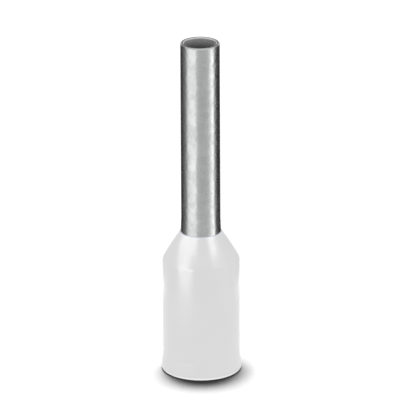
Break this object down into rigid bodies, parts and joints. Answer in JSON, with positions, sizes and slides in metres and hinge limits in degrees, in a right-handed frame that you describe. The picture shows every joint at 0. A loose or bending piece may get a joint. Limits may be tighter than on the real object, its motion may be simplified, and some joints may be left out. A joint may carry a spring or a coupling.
{
  "type": "insulated wire ferrule",
  "caption": "Thin tinned metal sleeve pressed into a white plastic collar, crimped onto a stripped stranded wire so that its strands stay together in a terminal.",
  "frame": {"origin": "centre of the circle of the collar's mouth, on the plane that the ferrule stands on", "axes": "+Z along the common axis of both pieces, from the collar's mouth towards the sleeve's tip; X and Y are any two directions across, because the part is round"},
  "size_m": [0.0032, 0.0032, 0.014],
  "materials": {
    "tinned_copper": "satin electroplated tin over copper, finely grained",
    "white_polypropylene": "smooth, softly glossy injection-moulded plastic"
  },
  "bodies": {
    "root": {"contact_sleeve": "tinned_copper", "insulating_collar": "white_polypropylene"}
  },
  "joints": []
}
